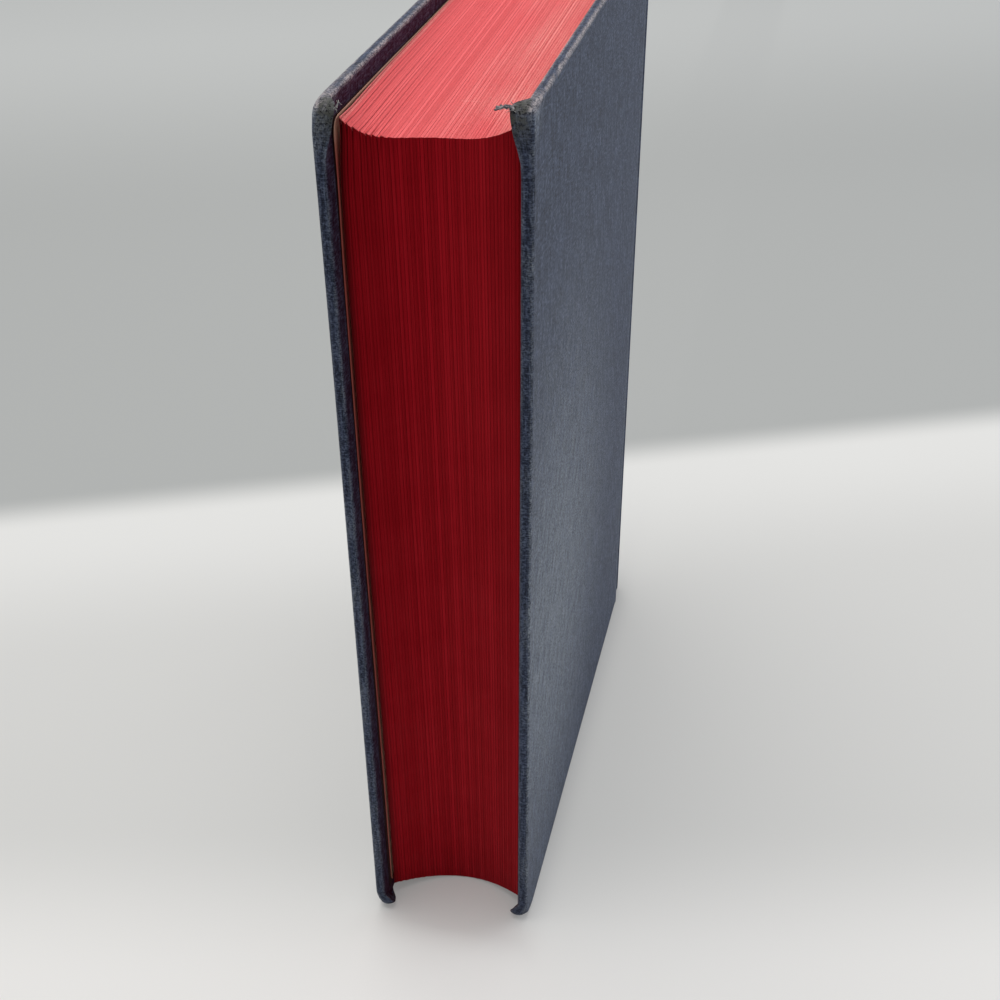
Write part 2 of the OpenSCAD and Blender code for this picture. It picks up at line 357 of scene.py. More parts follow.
def makeBookCloth(name, nap, gloss, paintedShadeTone):
    # fine woven book cloth with a sized, slightly napped face: matte, greyer on its worn crests
    look = clothLook
    material, tree, shader = startMaterial(
        name, 0.75, gloss,
        **{"Sheen Weight": nap, "Sheen Roughness": 0.4, "Sheen Tint": (0.72, 0.79, 0.9, 1)},
    )
    uv, place3 = threadPlace(tree), objectPlace(tree)
    wearAndPaintedLight, bare, paintedRedShade, fadedAndHighlit = (attribute(tree, n) for n in clothLayers)
    wander = speckle(tree, place3, 160, 3.0)
    threadAxes = axesOf(tree, uv)
    warp, weft = (
        wave(tree, weighted(tree, (threadAxes[i], 1), (wander, look["wander"][i])), 2 * look["thread"])
        for i in (0, 1)
    )
    crown = math2(tree, "ABSOLUTE", times(tree, warp, weft))
    slub = speckle(tree, uv, look["slub"], 2.0, 0.6)
    knots = speckle(tree, uv, look["knots"], 2.0, 0.65)
    warpStreak, weftStreak = (speckle(tree, uv, look[n], 3.0, 0.7) for n in ("warpStreak", "weftStreak"))
    turned = addNode(tree, "Mapping", {"Vector": uv, "Rotation": (0, 0, look["markTurn"])}).outputs[0]
    marks = speckle(tree, turned, look["marks"], 3.0, 0.7)
    fuzz = speckle(tree, place3, 1900, 3.0, 0.75)
    cloud = speckle(tree, place3, 45, 3.0, 0.55)

    lift = weighted(tree, (crown, 0.13), (fuzz, 0.87))
    streaks = weighted(tree, (warpStreak, 0.7), (weftStreak, 0.3))
    coarse = weighted(tree, (slub, 0.36), (knots, 0.64))
    tone = mixColour(tree, ramp(tree, lift, 0.3, 0.62), look["deep"], look["base"])
    for value, low, high, most, over in (
        (lift, 0.5, 0.72, 0.75, "crest"),
        (streaks, 0.48, 0.66, 0.7, "crest"),
        (streaks, 0.5, 0.34, 0.75, "deep"),
        (cloud, 0.45, 0.75, 0.2, "crest"),
        (coarse, 0.48, 0.64, 0.66, "slubTone"),
        (coarse, 0.51, 0.38, 0.55, "deep"),
    ):
        tone = mixColour(tree, ramp(tree, value, low, high, 0.0, most), tone, look[over])
    # painted shade: the cloth turns dark red where its third layer is set
    tone = mixColour(tree, paintedRedShade, tone, paintedShadeTone)
    # the wear layer also holds a painted lighter patch on the covers' faces
    rubbed = times(tree, wearAndPaintedLight, ramp(tree, lift, 0.36, 0.62, 0.1, 1.5), True)
    rubbed = times(tree, rubbed, ramp(tree, marks, 0.4, 0.6, 0.55, 1.45), True)
    tone = mixColour(tree, rubbed, tone, mixColour(tree, fadedAndHighlit, look["scuffed"], look["fadedAndHighlit"]))
    gone = times(tree, bare, ramp(tree, fuzz, 0.35, 0.6, 0.5, 1.5), True)
    tone = mixColour(tree, gone, tone, look["board"])
    pits = times(tree, bare, ramp(tree, fuzz, 0.5, 0.4, 0.0, 1.4), True)
    tone = mixColour(tree, pits, tone, look["hole"])
    relief = weighted(tree, (crown, 0.25), (fuzz, 0.75), (streaks, 0.6))
    dress(tree, shader, tone, relief, 0.8, 0.00016, ramp(tree, lift, 0.3, 0.7, 0.9, 0.66))
    return material


leafLayers = ("leafTone", "leafShade", "leafDustAndSheen", "leafPale", "leafCrease")
edgeLook = {
    "streaks": (1.6, 1 / 50, 1),  # lumps to a mm, across and along the leaves
    "fibres": (5.5, 1 / 12, 1),
    "deep": "#8b000c",
    "base": "#aa0015",
    # painted sheen on the head, and dust on the fore-edge
    "bright": "#c30921",
    "dustAndSheen": "#ee6f72",
    # the gap colour is painted shade, in the gaps between leaves and beside the front cover
    "gap": "#3c0004",
    "pale": "#f3a29b",
    "crease": "#ffb4ac",
}


def makeStainedEdge():
    # trimmed and burnished paper edges under a red stain: each leaf takes it a little differently; the gaps between
    # leaves carry painted shade, and the head a painted sheen
    look = edgeLook
    material, tree, shader = startMaterial("red_stained_leaf_edges", 0.65, 0.07)
    uv, place3 = threadPlace(tree), objectPlace(tree)
    tint, gap, dustAndSheenMask, pale, crease = (attribute(tree, n) for n in leafLayers)
    streaks = speckle(tree, uv, look["streaks"], 1.0)
    fibres = speckle(tree, uv, look["fibres"], 2.0, 0.6)
    blotch = speckle(tree, place3, 70, 4.0, 0.6)
    tooth = speckle(tree, place3, 2200, 2.0, 0.6)
    mixUp = weighted(tree, (tint, 0.5), (streaks, 0.05), (fibres, 0.42))
    grit = weighted(tree, (mixUp, 0.7), (tooth, 0.5))
    tone = mixColour(tree, ramp(tree, mixUp, 0.15, 0.85), look["deep"], look["bright"])
    tone = mixColour(tree, 0.35, tone, look["base"])
    tone = mixColour(tree, ramp(tree, blotch, 0.35, 0.8, 0.0, 0.3), tone, look["deep"])
    # painted sheen over the head, and dust on the fore-edge
    dustAndSheen = times(tree, dustAndSheenMask, ramp(tree, grit, 0.3, 0.85, 0.82, 1.0), True)
    tone = mixColour(tree, dustAndSheen, tone, look["dustAndSheen"])
    tone = mixColour(tree, times(tree, pale, ramp(tree, grit, 0.35, 0.75)), tone, look["pale"])
    tone = mixColour(tree, times(tree, crease, ramp(tree, tooth, 0.3, 0.6)), tone, look["crease"])
    # painted shade in the gaps between leaves and beside the front cover
    tone = mixColour(tree, gap, tone, look["gap"])
    relief = weighted(tree, (fibres, 0.7), (tooth, 0.3))
    dress(tree, shader, tone, relief, 0.5, 0.00008, ramp(tree, blotch, 0.3, 0.7, 0.55, 0.7))
    return material


def makePaper(name, base, fleck, edge, fibre, roughness, foreEdge=None):
    # uncoated paper or board with faint fibres, and an edge that took up some of the stain; on a leaf pasted to a
    # cover, that dark edge is painted shade
    material, tree, shader = startMaterial(name, roughness, 0.3)
    place3 = objectPlace(tree)
    if foreEdge is None:
        stainAndShade = attribute(tree, "stainAndShade")
    else:  # a leaf pasted to a cover: its distance from the trimmed edges, in metres, which sets a painted shade along them
        _, y, z = axesOf(tree, place3)
        fromFore = math2(tree, "SUBTRACT", y, foreEdge)
        fromTail = math2(tree, "SUBTRACT", z, case["square"] * 0.001)
        fromHead = math2(tree, "SUBTRACT", (height - case["square"]) * 0.001, z)
        nearest = math2(tree, "MINIMUM", fromFore, math2(tree, "MINIMUM", fromTail, fromHead))
        stainAndShade = ramp(tree, nearest, 0.0055, 0.0014)
    fibres = speckle(tree, place3, (fibre, fibre / 3, fibre / 3), 4.0, 0.65)
    cloud = speckle(tree, place3, 35, 3.0)
    tone = mixColour(tree, ramp(tree, fibres, 0.35, 0.7, 0.0, 0.6), base, fleck)
    tone = mixColour(tree, ramp(tree, cloud, 0.4, 0.75, 0.0, 0.35), tone, fleck)
    tone = mixColour(tree, stainAndShade, tone, edge)
    dress(tree, shader, tone, fibres, 0.4, 0.00005)
    return material


def makeGauze():
    # open-weave cotton gauze, stiff with glue: a thread each 1.1 mm
    material, tree, shader = startMaterial("open_weave_gauze", 0.85, 0.3)
    x, _, z = axesOf(tree, objectPlace(tree))
    across, up = (math2(tree, "ABSOLUTE", wave(tree, axis, 0.0022)) for axis in (x, z))
    weave = math2(tree, "MAXIMUM", across, up)
    tone = mixColour(tree, ramp(tree, weave, 0.7, 0.95), "#9c8a66", "#e4dcc8")
    dress(tree, shader, tone, weave, 0.6, 0.00015)
    return material


def makeBand():
    # mercerised cotton wound over a core, red and cream
    material, tree, shader = startMaterial("wound_band_cotton", 0.55, 0.5, **{"Sheen Weight": 0.3})
    turns = axesOf(tree, threadPlace(tree))[0]
    stripe, thread = wave(tree, turns, 3.6), wave(tree, turns, 0.45)
    tone = mixColour(tree, ramp(tree, stripe, -0.15, 0.15), "#8c1a24", "#d8c7a4")
    tone = mixColour(tree, ramp(tree, thread, -0.2, -0.95, 0.0, 0.6), tone, "#3a2018")
    dress(tree, shader, tone, thread, 0.7, 0.0001)
    return material


def makeCotton():
    # undyed cotton yarn ends, where the cloth has worn through
    material, tree, shader = startMaterial("frayed_cotton_yarn", 0.9, 0.2, **{"Sheen Weight": 0.2})
    fuzz = speckle(tree, objectPlace(tree), 2600, 3.0, 0.7)
    tone = mixColour(tree, ramp(tree, fuzz, 0.35, 0.65), "#6f7478", "#c4c2bd")
    dress(tree, shader, tone, fuzz, 0.6, 0.00005)
    return material


print("Materials: cloth, stained edges, papers, board, gauze, band")
bookCloth = makeBookCloth("woven_book_cloth", 0.2, 0.22, "#4f1a2c")
shadedTurnInCloth = makeBookCloth("painted_shade_turned_in_cloth", 0.0, 0.05, "#440a20")  # a copy with no sheen and little gloss, as painted shade on the inner walls beside the leaves
rawCotton = makeCotton()
stainedEdge = makeStainedEdge()
endpaper = makePaper("cream_endpaper", "#e8dcc0", "#d2c19a", "#a5413a", 900, 0.82)
# a leaf pasted to a cover gets a near-black red edge: painted shade beside the leaves
pasted = {
    side: makePaper(
        "cream_endpaper_painted_shade_" + sideName(side), "#e8dcc0", "#d2c19a", "#2a0609", 900, 0.82,
        placeCover(side, paperIn, case["square"], 0).y,
    )
    for side in (-1, 1)
}
kraft = makePaper("kraft_spine_lining", "#a98a5c", "#7f6540", "#7f6540", 1100, 0.85)
greyboard = makePaper("pressed_greyboard", "#8f897c", "#6d675c", "#6d675c", 1400, 0.9)
gauze = makeGauze()
bandCotton = makeBand()


# Text block

leaves = {
    "count": 205,  # edges that show; the real leaves are likely about half as thick
    "groupSize": (4, 4),
    "groupShift": 0.04,
    "leafShift": 0.025,
    "leastTone": 0.22,
    "groupTone": 0.14,
    "leafTone": 0.47,
    "groupShade": 0.2,  # how much darker the first leaf of a group is
    "cut": (0.03, 0.07),  # depth of the line between two leaves
    "groupCut": (0.16, 0.26),
    "fanned": 7,  # open gaps near the front cover, at the head
    "fanDepth": 1.2,
    "near": [0.0, 0.07, 1.2, 3.0, 5.5, 9.0, 13.5, 19.0],
    "creaseAt": 21.0,
    "jag": 0.34,  # unevenness of the front leaves at the head
    "push": 0.6,  # how far the front leaves are pushed in at the head of the fore-edge
    "seed": 7,
}


def makeTextBlock():
    look = leaves
    draw = random.Random(look["seed"])
    count = look["count"]
    widths = [draw.uniform(0.7, 1.3) for _ in range(count)]
    starts = [0.0]
    for w in widths:
        starts.append(starts[-1] + w)
    starts = [-1 + 2 * q / starts[-1] for q in starts]
    shift, headShift, cuts, tones = [], [], [draw.uniform(*look["cut"])], []
    left, group, groupHead, groupTone = 0, 0.0, 0.0, 0.5
    for k in range(count):
        fresh = left == 0
        if fresh:
            left = draw.randint(*look["groupSize"])
            group = draw.uniform(-1, 1) * look["groupShift"]
            groupHead = draw.uniform(-1, 1) * look["groupShift"]
            groupTone = draw.random()
        left -= 1
        shift.append(group + draw.uniform(-1, 1) * look["leafShift"])
        headShift.append(groupHead + draw.uniform(-1, 1) * look["leafShift"])
        cuts.append(draw.uniform(*(look["groupCut"] if fresh else look["cut"])))
        tone = look["leastTone"] + look["groupTone"] * groupTone + look["leafTone"] * draw.random()
        tones.append(clamp(tone - (look["groupShade"] if fresh else 0)))
    fans = {
        int(count * (0.02 + 0.034 * i + draw.uniform(-0.009, 0.009))): draw.uniform(0.55, 1) * (1 - 0.07 * i)
        for i in range(look["fanned"])
    }
    steps = [draw.uniform(-1, 1) for _ in range(count)]
    jags = [(k % 8) / 4 - 1 + 0.5 * steps[k // 8] + 0.2 * steps[k] for k in range(count)]

    crease = look["creaseAt"]
    depths = sorted(stationList(leafDepth, look["near"], 15) + [crease - 0.3, crease, crease + 0.3])
    rises = stationList(leafHeight, look["near"], 18)
    ny, nz = len(depths) - 1, len(rises) - 1
    bm = gridBlock(3 * count, ny, nz)
    threads = bm.loops.layers.uv.new("threads")
    leafTone, leafShade, leafDustAndSheen, leafPale, leafCrease = (bm.verts.layers.float.new(n) for n in leafLayers)
    where = {}
    for vert in bm.verts:
        i, j, k = (round(c) for c in vert.co)
        leaf, part = divmod(i, 3)
        a, b = depths[j], rises[k]
        onHead, onTail, onFore = k == nz, k == 0, j == 0
        edge = min(leaf, count - 1)
        gapLeaf = leaf + (part == 2)  # the gap that this vertex lies beside
        parted = 0.0
        if gapLeaf in fans:
            parted = fans[gapLeaf] * fade(a, 85) * fade(leafHeight - b, 30)
        if part == 0:
            s = starts[leaf]
            cut = cuts[leaf] if 0 < leaf < count else 0.0
            reach = -cut
            headReach = -cut
            if leaf in fans:
                headReach -= look["fanDepth"] * parted
                reach -= 0.5 * fans[leaf] * fade(leafHeight - b, 60)
            # painted shade in the cut between leaves and in the fanned gaps
            vert[leafShade] = clamp(cut / look["groupCut"][1]) * 0.7 + 0.28 * parted
        else:
            inset = 0.2 + (0.1 if cuts[leaf] > 0.1 else 0) + 0.3 * parted if part == 1 else 0.8 - 0.3 * parted
            vert[leafShade] = 0.3 * parted
            s = starts[leaf] + (starts[leaf + 1] - starts[leaf]) * inset
            reach, headReach = shift[leaf], headShift[leaf]
            ragged = look["jag"] * jags[leaf] * smooth((-s - 0.3) / 0.3)
            reach += 0.8 * ragged * fade(leafHeight - b, 5)
            headReach -= 0.6 * ragged * fade(a, 9)
            reach += 0.03 * grain(leaf * 3.7, b, 0, 40)
        vert[leafTone] = tones[edge]
        if onHead:  # the whole head turned pinker as a painted sheen, and paler towards the back cover and at both rims
            vert[leafDustAndSheen] = 1.0
            rim = smooth((s - 0.9) / 0.1) * 0.5
            rim += smooth((-s - 0.95) / 0.02) * 0.8
            patches = 1 + 1.6 * grain(s * 22, a * 0.5, 5, 9)
            vert[leafPale] = clamp(0.5 * smooth((s + 0.35) / 1.1) * patches + rim)
        elif onFore:  # painted shade, darkest beside the front cover and fading across the front half; dustier towards the back cover and the tail
            low = 1 - b / leafHeight
            shade = 0.5 * fade(s + 1, 0.11) + 0.2 * smooth((0.4 - s) / 1.2) * (1 - 0.5 * low)
            vert[leafShade] += shade
            vert[leafDustAndSheen] = 0.005 + 0.035 * smooth((s + 0.8) / 1.8) + 0.04 * low * low * (0.7 + 0.3 * s)
        if part and onHead and abs(a - crease) < 0.1 and 0.02 < s < 0.25:
            vert[leafCrease] = 0.9 * draw.random()
        if onFore:
            a -= reach
        if onHead:
            b += headReach
        if onTail:
            b -= headReach * 0.5
        x, v, z = leafSpot(s, a, b)
        x += look["push"] * fade(leafHeight - b, 15) * fade(a, 34) * smooth((-s - 0.55) / 0.45)
        where[vert] = (s, a, b)
        vert.co = place(x, v, z)
    for face in bm.faces:
        for loop in face.loops:
            s, a, b = where[loop.vert]
            loop[threads].uv = (s * blockHalf, a + b)
    bmesh.ops.recalc_face_normals(bm, faces=bm.faces)
    return addPiece(bm, "stained_text_block", stainedEdge)


print("Pages: text block and flyleaves")
textBlock = makeTextBlock()
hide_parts("text_block")
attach(textBlock, "pages_and_spine")

flyleafLook = {
    "cornerRound": 3.2,
    "bow": 0.3,
    "headBow": 0.3,
    "proud": 0.15,  # how far the front one stands forward of the leaves
    "headProud": 0.45,
    "stain": 2.0,
    "near": [0.0, 0.4, 0.9, 1.8, 3.2, 5.5, 9.0, 14.0],
}


def makeFlyleaf(side):
    look = flyleafLook
    depths = stationList(leafDepth, look["near"], 12)
    rises = stationList(leafHeight, look["near"], 18)
    front = side < 0

    def shape(u, w):
        a = depths[round(u * (len(depths) - 1))]
        b = rises[round(w * (len(rises) - 1))]
        gap = (case["lift"] if front else 0.0) * (1 - smooth(a / (leafDepth - case["shoulderDepth"])))
        x = sideX(side, a) + gap + case["paper"]
        start = cornerStart(look["cornerRound"], min(b, leafHeight - b))
        deep = start + (leafDepth - start) * a / leafDepth
        if front:
            x += look["bow"] * fade(a, 60) * (0.6 + 0.4 * grain(0, a, b, 55))
            x -= look["headBow"] * fade(a, 40) * fade(leafHeight - b, 40)
            forward = look["proud"] + look["headProud"] * fade(leafHeight - b, 16)
            deep -= forward * fade(a, 30) + twist(-1, a, b)
        return place(side * x, case["square"] + deep, case["square"] + b), (deep, b)

    facing = Vector((side, 0, 0))
    bm = gridSheet(len(depths) - 1, len(rises) - 1, shape, lambda c: facing)
    stainAndShade = bm.verts.layers.float.new("stainAndShade")
    low = case["square"] * 0.001
    for vert in bm.verts:
        fromEnd = min(vert.co.z - low, low + leafHeight * 0.001 - vert.co.z, 1)
        fromFore = vert.co.y - place(side * blockHalf, case["square"] - look["proud"], 0).y
        edge = min(fromEnd, fromFore) * 1000
        below = smooth((leafHeight + case["square"] - 0.5 - vert.co.z * 1000) / 8) if front else 1
        vert[stainAndShade] = clamp(1.7 - edge / look["stain"]) * (0.62 + 0.34 * below)
    piece = addWall(addPiece(bm, sideName(side) + "_flyleaf_sheet", endpaper, 40), case["paper"])
    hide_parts("front_flyleaf" if front else "back_flyleaf")
    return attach(piece, "pages_and_spine")


for side in (-1, 1):
    makeFlyleaf(side)


# Covers

coverLook = {
    "edgeRound": 0.85,
    "near": [0.0, 0.3, 0.65, 1.1, 1.7, 2.4, 3.2, 4.1, 5.1, 6.3, 7.7, 9.4, 11.6],
    "skins": [0.0, 0.2, 0.5, 0.9, 1.3, 1.7, 2.1, 2.4, 2.6],  # stations through the board's thickness
    "lip": 0.35,  # how much thicker the back cover's fore-edge has grown
    "seam": 149.5,  # where the cloth of the joint takes over
    "step": 4.2,
    "tailKnob": {"swell": 2.9, "dip": 0.5, "full": 2.4, "fade": 4.4, "round": 0.49, "lean": (1, 1)},
    "headKnob": {"swell": 2.7, "dip": 0.6, "full": 0.8, "fade": 9.0, "round": 0.3, "lean": (2.5, 0.72)},
    # the face share is a painted lighter patch; the headTop share is wear and a painted highlight along the head's top
    # edges
    "worn": {"edges": 0.24, "headTop": 1.3, "rubbed": 0.2, "face": 0.6},
}


def cornerShape(v, z):
    # how a bumped corner has swollen inwards, bent in and rounded off
    knob = coverLook["tailKnob"] if z < height / 2 else coverLook["headKnob"]
    out = v + min(z, height - z)
    far = knob["lean"][0] * v + knob["lean"][1] * min(z, height - z)
    swell = knob["swell"] * (1 - smooth((far - knob["full"]) / knob["fade"]))
    dip = knob["dip"] * clamp(1 - out / case["curlReach"]) ** 2
    blunt = 1 - smooth((out - 3.5) / 7.5)
    return swell, dip, blunt * knob["round"]


def roundBox(p, r):  # the point of a box's skin, moved onto its rounded corners
    core = Vector([max(c, r) for c in p])
    away = p - core
    if away.length < 1e-9:
        return p
    return core + away.normalized() * r


def coverStations():
    look = coverLook
    depths = [d for d in stationList(case["coverDepth"], look["near"], look["step"], False) if d < look["seam"] - 1]
    depths = sorted(set(depths + [case["turnIn"], look["seam"], case["coverDepth"]]))
    rises = sorted(set(stationList(height, look["near"], look["step"]) + [case["turnIn"], height - case["turnIn"]]))
    return depths, rises


def coverSpot(side, share, d, z, under=0.0):
    # the spot of a cover's skin, share of the way from its outer to its inner face, or that far under the skin
    look = coverLook
    atHead = z > height / 2
    swell, dip, blunt = cornerShape(d, z)
    local = halfT - coverIn + swell - dip + (look["lip"] * fade(d, 4.5) if side > 0 else 0)
    t = share * local
    rise = height - z if atHead else z
    radius = max(look["edgeRound"], local * blunt)
    deep = Vector([max(c - under, 0) for c in (min(t, local - t), d, rise)])
    p = roundBox(deep, max(radius - under, 0.02)) + Vector((under, under, under))
    t = p.x if share <= 0.5 else local - p.x
    z = height - p.z if atHead else p.z
    tailEnd, headEnd = case["slant"]
    forward = max(0, side * (tailEnd + (headEnd - tailEnd) * z / height))
    start = cornerStart(case["cornerRadius"], min(z, height - z)) - forward
    v = start + (case["coverDepth"] - start) * p.y / case["coverDepth"]
    return halfT - dip - t, v, z, t, math.hypot(p.y, p.z)


def makeBoard(side):
    skins = [0.0, 0.6, 1.3, 2.0, 2.6]
    thick = halfT - coverIn
    depths, rises = coverStations()
    bm = gridBlock(len(skins) - 1, len(depths) - 1, len(rises) - 1)
    for vert in bm.verts:
        i, j, k = (round(c) for c in vert.co)
        x, v, z, _, _ = coverSpot(side, skins[i] / thick, depths[j], rises[k], case["cloth"] + 0.03)
        vert.co = placeCover(side, x, min(v, case["coverDepth"] - case["cloth"]), z)
    bmesh.ops.recalc_face_normals(bm, faces=bm.faces)
    label = sideName(side)
    piece = addPiece(bm, label + "_millboard", greyboard, 50)
    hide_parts(label + "_board")
    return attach(piece, label + "_cover")


def makeCover(side):
    look = coverLook
    thick = halfT - coverIn
    depths, rises = coverStations()
    skins = look["skins"]
    nx, ny, nz = len(skins) - 1, len(depths) - 1, len(rises) - 1
    bm = gridBlock(nx, ny, nz)
    doomed = []
    for face in bm.faces:
        i, j, k = face.calc_center_median()
        opening = i > nx - 0.01 and depths[int(j)] >= case["turnIn"]
        opening = opening and case["turnIn"] <= rises[int(k)] < height - case["turnIn"]
        behind = j > ny - 0.01
        overJoint = i < 0.01 and depths[int(j)] >= look["seam"]
        if opening or behind or overJoint:
            doomed.append(face)
    bmesh.ops.delete(bm, geom=doomed, context="FACES")
    threads = bm.loops.layers.uv.new("threads")
    wearAndPaintedLight, bare, paintedRedShade, fadedAndHighlit = (bm.verts.layers.float.new(n) for n in clothLayers)
    flat = {}
    for face in bm.faces:
        # which wall a face lies on tells how its threads run
        centre = face.calc_center_median()
        kind = 1 if centre.y < 0.01 else 2
        if not 0.01 <= centre.x <= nx - 0.01:
            kind = 0
            # the inner wall takes the shaded copy of the cloth, as painted shade
            face.material_index = int(centre.x > 1)
        flat[face] = (kind, [tuple(round(c) for c in loop.vert.co) for loop in face.loops])
    for vert in bm.verts:
        i, j, k = (round(c) for c in vert.co)
        share, d, z = skins[i] / thick, depths[j], rises[k]
        atHead = z > height / 2
        e = min(z, height - z)
        x, v, z, t, toCorner = coverSpot(side, share, d, z)
        if share > 0.5:
            x -= 0.22 * fade(toCorner, 8) * grain(v, z, side * 9, 1.6)
        x += 0.03 * grain(v, z, side * 31, 24) * smooth(d / 30)
        v -= 0.05 * grain(t, z, side * 17, 6) * fade(d, 2)
        # rubbed along the edges, and through to the board at the corners of the head
        fromEdge = min(d, e)
        fromFace = min(share, 1 - share) * thick
        arris = fade(math.hypot(fromEdge, fromFace), 1.1)
        worn = look["worn"]["headTop"] if atHead and e < 1 else look["worn"]["edges"]
        amount = worn * arris * (0.7 + 1.0 * grain(v, z, t, 4))
        corner = fade(toCorner, 11 if atHead else 5) * ((0.85 if d > 1 else 0.3) if atHead else 0.3)
        amount = max(amount, corner * (0.8 + 0.9 * grain(v, z, 3, 1.3)))
        rub = smooth((grain(v * 0.4, z, side * 5, 15) - 0.15) / 0.3) * fade(fromEdge, 3)
        amount += rub * look["worn"]["rubbed"] * (1 if share < 0.5 else 0.35)
        if share < 0.1:  # a painted lighter patch over the middle of the outer face, carried in the wear layer
            amount += look["worn"]["face"] * smooth(1 - math.hypot((v - 28) / 106, (z - 90) / 125))
        vert[wearAndPaintedLight] = clamp(amount)
        # paler, rosier along the head's top edges: wear and a painted highlight
        vert[fadedAndHighlit] = fade(e, 2.5) if atHead else 0.0
        through = fade(toCorner, (10 if d < 0.5 else 4) if atHead else 1.6) * smooth((t - 0.4) / 1.0)
        vert[bare] = clamp(through * ((0.72 if atHead else 0.3) + 0.8 * grain(v, z, t, 0.9)))
        knobby = fade(toCorner, 4 if atHead else 8)
        if share > 0.95:  # painted shade: the turned-in cloth beside the leaves is turned dark red, for the shade there and the red light from the leaves
            vert[paintedRedShade] = (0.5 if side > 0 else 0.3) + 0.45 * smooth(fromEdge / 1.5) * (1 - knobby)
            if atHead:
                vert[paintedRedShade] *= 1 - 0.4 * fade(e, 12)
            if side < 0:
                vert[paintedRedShade] *= 0.5 + 0.5 * fade(e, 16)
        elif share > 0.85 and fromEdge < 1 and side > 0:
            vert[paintedRedShade] = 0.3 * (1 - knobby)
        vert.co = placeCover(side, x, v, z)
    for face, (kind, corners) in flat.items():
        for loop, (i, j, k) in zip(face.loops, corners):
            t, d, z = skins[i], depths[j], rises[k]
            loop[threads].uv = ((d, z), (2.4 * t, z), (d, 2.4 * t))[kind]
    bm.normal_update()
    bmesh.ops.recalc_face_normals(bm, faces=bm.faces)
    probe = max(bm.faces, key=lambda f: side * f.calc_center_median().x)
    if probe.normal.x * side < 0:
        bmesh.ops.reverse_faces(bm, faces=bm.faces)
    front = side < 0
    piece = addPiece(bm, sideName(side) + "_cover_cloth", bookCloth, 50)
    piece.data.materials.append(shadedTurnInCloth)
    addWall(piece, case["cloth"])
    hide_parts("front_board_cloth" if front else "back_board_cloth")
    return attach(piece, "front_cover" if front else "back_cover")


print("Covers: cloth over both boards")
for side in (-1, 1):
    makeBoard(side)
    makeCover(side)

# Frayed cloth at the corners of the head

frayLook = {
    "radius": 0.08,  # drawn thicker than a real fibre, so that it shows
    "steps": 7,
    "back": {"count": 16, "length": (0.8, 2.0), "seed": 31},
    "front": {"count": 6, "length": (0.5, 1.2), "seed": 12},
    "tuft": {"radius": 0.2, "length": 1.9, "heading": (-0.12, -0.1, 1)},
    "ear": {"reach": 3.6, "depth": 2.5, "wall": 0.4},
}


def makeLooseThreads(side):
    look = frayLook
    label = sideName(side)
    own = look[label]
    draw = random.Random(own["seed"])
    bm = bmesh.new()
    inner = coverIn - coverLook["headKnob"]["swell"]
    strands = []
    for _ in range(own["count"]):
        along = draw.random()
        spot = Vector((inner + 0.4 + along * 4.2, 0.5 + draw.uniform(0, 0.5), height - 0.35 - draw.uniform(0, 1.6)))
        if draw.random() < 0.5:
            spot = Vector((inner + 0.3, 0.8 + draw.uniform(0, 4), height - 0.5 - draw.uniform(0, 1)))
        heading = Vector((-draw.uniform(0.1, 1), -draw.uniform(0, 0.7), draw.uniform(-0.1, 0.9))).normalized()
        strands.append((spot, heading, draw.uniform(*own["length"]), look["radius"]))
    if side < 0:  # one thick tuft stands up beside the front corner
        tuft = look["tuft"]
        spot = Vector((inner + 0.15, 1.4, height - 1.0))
        strands.append((spot, Vector(tuft["heading"]).normalized(), tuft["length"], tuft["radius"]))
    for spot, heading, length, radius in strands:
        ring = bmesh.ops.create_circle(bm, segments=6, radius=radius)["verts"]
        bmesh.ops.rotate(bm, verts=ring, matrix=heading.to_track_quat("Z", "Y").to_matrix(), cent=(0, 0, 0))
        bmesh.ops.translate(bm, verts=ring, vec=spot)
        edges = list({e for v in ring for e in v.link_edges})
        for _ in range(look["steps"]):
            out = bmesh.ops.extrude_edge_only(bm, edges=edges)["geom"]
            ring = [g for g in out if isinstance(g, bmesh.types.BMVert)]
            edges = [g for g in out if isinstance(g, bmesh.types.BMEdge)]
            wobble = 0.5 if radius < 0.1 else 0.2
            heading = (heading + Vector([draw.uniform(-wobble, wobble) for _ in range(3)])).normalized()
            bmesh.ops.translate(bm, verts=ring, vec=heading * length / look["steps"])
            middle = sum((v.co for v in ring), Vector()) / len(ring)
            bmesh.ops.scale(bm, verts=ring, vec=(0.88, 0.88, 0.88), space=Matrix.Translation(-middle))
    bmesh.ops.holes_fill(bm, edges=[e for e in bm.edges if e.is_boundary])
    for vert in bm.verts:
        vert.co = placeCover(side, *vert.co)
    bmesh.ops.recalc_face_normals(bm, faces=bm.faces)
    piece = addPiece(bm, label + "_loose_threads", rawCotton, 70)
    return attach(piece, label + "_cover")


